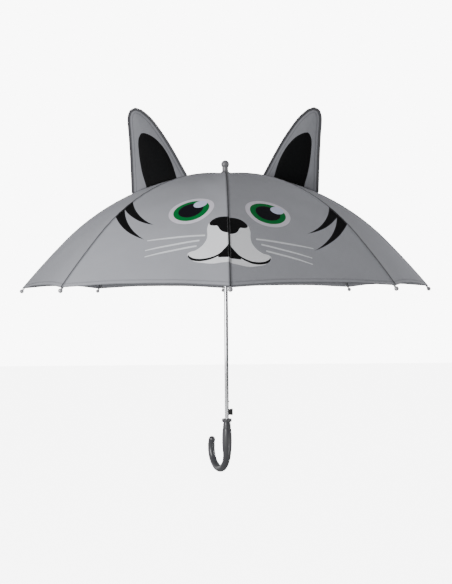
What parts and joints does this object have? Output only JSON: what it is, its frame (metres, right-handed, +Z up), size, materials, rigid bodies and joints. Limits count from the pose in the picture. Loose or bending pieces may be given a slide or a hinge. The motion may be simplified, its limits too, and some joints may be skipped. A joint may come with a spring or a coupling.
{
  "type": "umbrella",
  "caption": "Small self-opening umbrella with a domed grey cloth canopy shaped as a cat's face with two upright ears, a slim tube shaft and a plastic hook handle.",
  "frame": {"origin": "on the shaft's axis, at the middle of the grip, where a hand holds it", "axes": "+Z up the shaft to the finial, -Y the side of the canopy with the face, +X the side of the release button, so that the ears stand over +X and -X"},
  "size_m": [0.8038, 0.8038, 0.7187],
  "materials": {
    "cloth": "matte coated polyester taffeta",
    "ear_cloth": "matte coated polyester, lightly padded",
    "rib_steel": "zinc plated",
    "spring_steel": "bare spring steel",
    "shaft_chrome": "bright plated tube",
    "handle_plastic": "glossy moulded",
    "finial_plastic": "satin moulded",
    "black_plastic": "matte moulded",
    "tip_metal": "silver lacquer",
    "stud_metal": "bright plated"
  },
  "bodies": {
    "shaft": {"shaft_tube": "shaft_chrome", "crown_washer": "finial_plastic", "finial": "finial_plastic", "crown_notch": "black_plastic", "crown_ring_wire": "spring_steel", "runner_stop": "rib_steel", "spring_seat": "rib_steel", "opening_spring": "spring_steel", "grip_collar": "handle_plastic", "hook_handle": "handle_plastic", "hook_end_cap": "handle_plastic"},
    "button": {"release_button": "black_plastic", "latch_spring": "spring_steel"},
    "runner": {"runner": "black_plastic", "runner_ring_wire": "spring_steel", "spring_plunger": "spring_steel"},
    "rib_1": {"rib_1": "rib_steel", "canopy_panel_1": "cloth"},
    "rib_end_1": {"rib_end_1": "rib_steel", "rib_tip_1": "tip_metal"},
    "stretcher_1": {"stretcher_1": "rib_steel"},
    "rib_2": {"rib_2": "rib_steel", "canopy_panel_2": "cloth"},
    "rib_end_2": {"rib_end_2": "rib_steel", "rib_tip_2": "tip_metal"},
    "stretcher_2": {"stretcher_2": "rib_steel"},
    "rib_3": {"rib_3": "rib_steel", "canopy_panel_3": "cloth", "ear_right": "ear_cloth"},
    "rib_end_3": {"rib_end_3": "rib_steel", "rib_tip_3": "tip_metal"},
    "stretcher_3": {"stretcher_3": "rib_steel"},
    "rib_4": {"rib_4": "rib_steel", "canopy_panel_4": "cloth"},
    "rib_end_4": {"rib_end_4": "rib_steel", "rib_tip_4": "tip_metal"},
    "stretcher_4": {"stretcher_4": "rib_steel"},
    "rib_5": {"rib_5": "rib_steel", "canopy_panel_5": "cloth"},
    "rib_end_5": {"rib_end_5": "rib_steel", "rib_tip_5": "tip_metal", "tie_strap": "cloth", "tie_stud": "stud_metal"},
    "stretcher_5": {"stretcher_5": "rib_steel"},
    "rib_6": {"rib_6": "rib_steel", "canopy_panel_6": "cloth"},
    "rib_end_6": {"rib_end_6": "rib_steel", "rib_tip_6": "tip_metal"},
    "stretcher_6": {"stretcher_6": "rib_steel"},
    "rib_7": {"rib_7": "rib_steel", "canopy_panel_7": "cloth", "ear_left": "ear_cloth"},
    "rib_end_7": {"rib_end_7": "rib_steel", "rib_tip_7": "tip_metal"},
    "stretcher_7": {"stretcher_7": "rib_steel"},
    "rib_8": {"rib_8": "rib_steel", "canopy_panel_8": "cloth"},
    "rib_end_8": {"rib_end_8": "rib_steel", "rib_tip_8": "tip_metal"},
    "stretcher_8": {"stretcher_8": "rib_steel"}
  },
  "joints": [
    {"name": "canopy_fold", "type": "hinge", "parent": "shaft", "child": "rib_1", "pos_m": [0, -0.0095, 0.5125], "axis": [1, 0, 0], "range_deg": [0, 70.77], "stiffness_Nm_per_rad": 0.9, "springref_deg": -83.08, "deforming": ["opening_spring", "canopy_panel_1", "canopy_panel_2", "canopy_panel_3", "canopy_panel_4", "canopy_panel_5", "canopy_panel_6", "canopy_panel_7", "canopy_panel_8"]},
    {"name": "rib_1_straighten", "type": "hinge", "parent": "rib_1", "child": "rib_end_1", "pos_m": [0, -0.19924, 0.46261], "axis": [1, 0, 0], "range_deg": [-23.7, 0]},
    {"name": "stretcher_1_swing", "type": "hinge", "parent": "rib_1", "child": "stretcher_1", "pos_m": [0, -0.19924, 0.46261], "axis": [1, 0, 0], "range_deg": [-141.6, 0]},
    {"name": "rib_2_fold", "type": "hinge", "parent": "shaft", "child": "rib_2", "pos_m": [0.00672, -0.00672, 0.5125], "axis": [0.7071, 0.7071, 0], "range_deg": [0, 70.77]},
    {"name": "rib_2_straighten", "type": "hinge", "parent": "rib_2", "child": "rib_end_2", "pos_m": [0.14088, -0.14088, 0.46261], "axis": [0.7071, 0.7071, 0], "range_deg": [-23.7, 0]},
    {"name": "stretcher_2_swing", "type": "hinge", "parent": "rib_2", "child": "stretcher_2", "pos_m": [0.14088, -0.14088, 0.46261], "axis": [0.7071, 0.7071, 0], "range_deg": [-141.6, 0]},
    {"name": "rib_3_fold", "type": "hinge", "parent": "shaft", "child": "rib_3", "pos_m": [0.0095, 0, 0.5125], "axis": [0, 1, 0], "range_deg": [0, 70.77]},
    {"name": "rib_3_straighten", "type": "hinge", "parent": "rib_3", "child": "rib_end_3", "pos_m": [0.19924, 0, 0.46261], "axis": [0, 1, 0], "range_deg": [-23.7, 0]},
    {"name": "stretcher_3_swing", "type": "hinge", "parent": "rib_3", "child": "stretcher_3", "pos_m": [0.19924, 0, 0.46261], "axis": [0, 1, 0], "range_deg": [-141.6, 0]},
    {"name": "rib_4_fold", "type": "hinge", "parent": "shaft", "child": "rib_4", "pos_m": [0.00672, 0.00672, 0.5125], "axis": [-0.7071, 0.7071, 0], "range_deg": [0, 70.77]},
    {"name": "rib_4_straighten", "type": "hinge", "parent": "rib_4", "child": "rib_end_4", "pos_m": [0.14088, 0.14088, 0.46261], "axis": [-0.7071, 0.7071, 0], "range_deg": [-23.7, 0]},
    {"name": "stretcher_4_swing", "type": "hinge", "parent": "rib_4", "child": "stretcher_4", "pos_m": [0.14088, 0.14088, 0.46261], "axis": [-0.7071, 0.7071, 0], "range_deg": [-141.6, 0]},
    {"name": "rib_5_fold", "type": "hinge", "parent": "shaft", "child": "rib_5", "pos_m": [0, 0.0095, 0.5125], "axis": [-1, 0, 0], "range_deg": [0, 70.77]},
    {"name": "rib_5_straighten", "type": "hinge", "parent": "rib_5", "child": "rib_end_5", "pos_m": [0, 0.19924, 0.46261], "axis": [-1, 0, 0], "range_deg": [-23.7, 0]},
    {"name": "stretcher_5_swing", "type": "hinge", "parent": "rib_5", "child": "stretcher_5", "pos_m": [0, 0.19924, 0.46261], "axis": [-1, 0, 0], "range_deg": [-141.6, 0]},
    {"name": "rib_6_fold", "type": "hinge", "parent": "shaft", "child": "rib_6", "pos_m": [-0.00672, 0.00672, 0.5125], "axis": [-0.7071, -0.7071, 0], "range_deg": [0, 70.77]},
    {"name": "rib_6_straighten", "type": "hinge", "parent": "rib_6", "child": "rib_end_6", "pos_m": [-0.14088, 0.14088, 0.46261], "axis": [-0.7071, -0.7071, 0], "range_deg": [-23.7, 0]},
    {"name": "stretcher_6_swing", "type": "hinge", "parent": "rib_6", "child": "stretcher_6", "pos_m": [-0.14088, 0.14088, 0.46261], "axis": [-0.7071, -0.7071, 0], "range_deg": [-141.6, 0]},
    {"name": "rib_7_fold", "type": "hinge", "parent": "shaft", "child": "rib_7", "pos_m": [-0.0095, 0, 0.5125], "axis": [0, -1, 0], "range_deg": [0, 70.77]},
    {"name": "rib_7_straighten", "type": "hinge", "parent": "rib_7", "child": "rib_end_7", "pos_m": [-0.19924, 0, 0.46261], "axis": [0, -1, 0], "range_deg": [-23.7, 0]},
    {"name": "stretcher_7_swing", "type": "hinge", "parent": "rib_7", "child": "stretcher_7", "pos_m": [-0.19924, 0, 0.46261], "axis": [0, -1, 0], "range_deg": [-141.6, 0]},
    {"name": "rib_8_fold", "type": "hinge", "parent": "shaft", "child": "rib_8", "pos_m": [-0.00672, -0.00672, 0.5125], "axis": [0.7071, -0.7071, 0], "range_deg": [0, 70.77]},
    {"name": "rib_8_straighten", "type": "hinge", "parent": "rib_8", "child": "rib_end_8", "pos_m": [-0.14088, -0.14088, 0.46261], "axis": [0.7071, -0.7071, 0], "range_deg": [-23.7, 0]},
    {"name": "stretcher_8_swing", "type": "hinge", "parent": "rib_8", "child": "stretcher_8", "pos_m": [-0.14088, -0.14088, 0.46261], "axis": [0.7071, -0.7071, 0], "range_deg": [-141.6, 0]},
    {"name": "runner_pivot", "type": "hinge", "parent": "stretcher_1", "child": "runner", "pos_m": [0, -0.0095, 0.41273], "axis": [1, 0, 0], "range_deg": [0, 70.8]},
    {"name": "button_press", "type": "slide", "parent": "shaft", "child": "button", "axis": [-1, 0, 0], "range_m": [0, 0.0025], "stiffness_N_per_m": 400, "springref_m": -0.002}
  ],
  "couplings": [
    {"joint": "rib_1_straighten", "follows": "canopy_fold", "ratio": -0.333},
    {"joint": "stretcher_1_swing", "follows": "canopy_fold", "ratio": -2},
    {"joint": "rib_2_fold", "follows": "canopy_fold", "ratio": 1},
    {"joint": "rib_2_straighten", "follows": "canopy_fold", "ratio": -0.333},
    {"joint": "stretcher_2_swing", "follows": "canopy_fold", "ratio": -2},
    {"joint": "rib_3_fold", "follows": "canopy_fold", "ratio": 1},
    {"joint": "rib_3_straighten", "follows": "canopy_fold", "ratio": -0.333},
    {"joint": "stretcher_3_swing", "follows": "canopy_fold", "ratio": -2},
    {"joint": "rib_4_fold", "follows": "canopy_fold", "ratio": 1},
    {"joint": "rib_4_straighten", "follows": "canopy_fold", "ratio": -0.333},
    {"joint": "stretcher_4_swing", "follows": "canopy_fold", "ratio": -2},
    {"joint": "rib_5_fold", "follows": "canopy_fold", "ratio": 1},
    {"joint": "rib_5_straighten", "follows": "canopy_fold", "ratio": -0.333},
    {"joint": "stretcher_5_swing", "follows": "canopy_fold", "ratio": -2},
    {"joint": "rib_6_fold", "follows": "canopy_fold", "ratio": 1},
    {"joint": "rib_6_straighten", "follows": "canopy_fold", "ratio": -0.333},
    {"joint": "stretcher_6_swing", "follows": "canopy_fold", "ratio": -2},
    {"joint": "rib_7_fold", "follows": "canopy_fold", "ratio": 1},
    {"joint": "rib_7_straighten", "follows": "canopy_fold", "ratio": -0.333},
    {"joint": "stretcher_7_swing", "follows": "canopy_fold", "ratio": -2},
    {"joint": "rib_8_fold", "follows": "canopy_fold", "ratio": 1},
    {"joint": "rib_8_straighten", "follows": "canopy_fold", "ratio": -0.333},
    {"joint": "stretcher_8_swing", "follows": "canopy_fold", "ratio": -2},
    {"joint": "runner_pivot", "follows": "canopy_fold", "ratio": 1}
  ]
}
